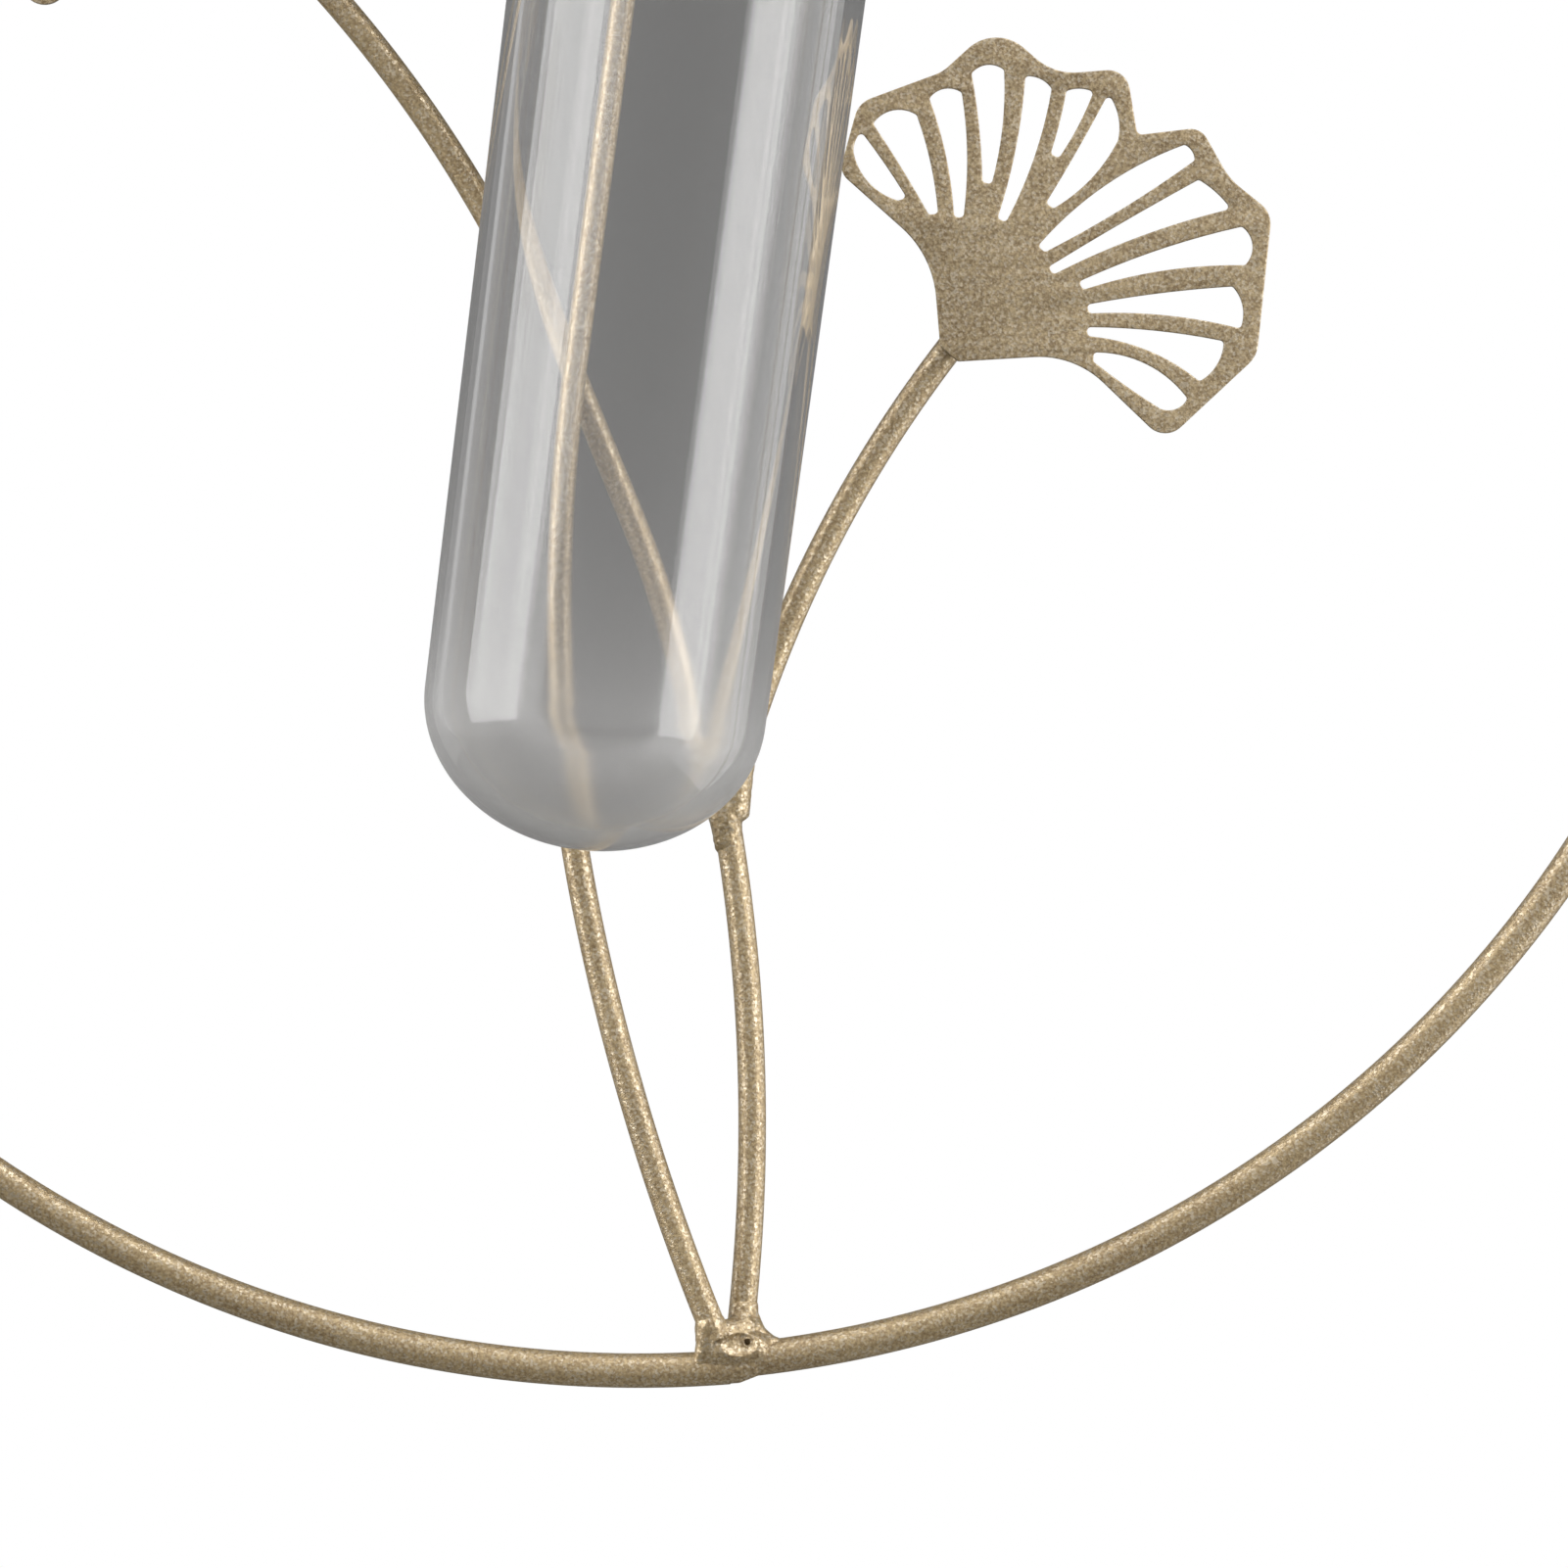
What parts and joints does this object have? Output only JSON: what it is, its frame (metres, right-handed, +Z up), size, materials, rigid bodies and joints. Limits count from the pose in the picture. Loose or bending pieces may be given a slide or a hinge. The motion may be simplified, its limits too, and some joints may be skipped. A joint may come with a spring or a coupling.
{
  "type": "hanging wall vase",
  "caption": "Hanging wall vase: a round wire hoop framing pierced ginkgo leaves on wire stems, with a clear lift-out tube for cut flowers hung by its rim in a wire loop.",
  "frame": {"origin": "centre of the nail hole, on the tab's wall face", "axes": "+Z up, +X to the right as seen from the room, +Y into the wall"},
  "size_m": [0.2, 0.0421, 0.2119],
  "materials": {
    "gold_paint": "satin champagne gold spray paint with a fine metallic grain",
    "clear_plastic": "clear moulded polystyrene, glossy"
  },
  "bodies": {
    "frame": {"main_ring": "gold_paint", "carrier_stem": "gold_paint", "left_leaf_stem": "gold_paint", "right_leaf_stem": "gold_paint", "right_leaf": "gold_paint", "left_leaf": "gold_paint", "tube_holder": "gold_paint", "hanging_tab": "gold_paint", "ring_weld": "gold_paint", "branch_weld": "gold_paint", "crown_weld": "gold_paint", "holder_weld": "gold_paint", "tab_weld": "gold_paint", "right_leaf_weld": "gold_paint", "left_leaf_weld": "gold_paint"},
    "tube": {"water_tube": "clear_plastic"}
  },
  "joints": [
    {"name": "tube_lift", "type": "slide", "parent": "frame", "child": "tube", "axis": [0.1271, 0, 0.9919], "range_m": [0, 0.16]}
  ]
}
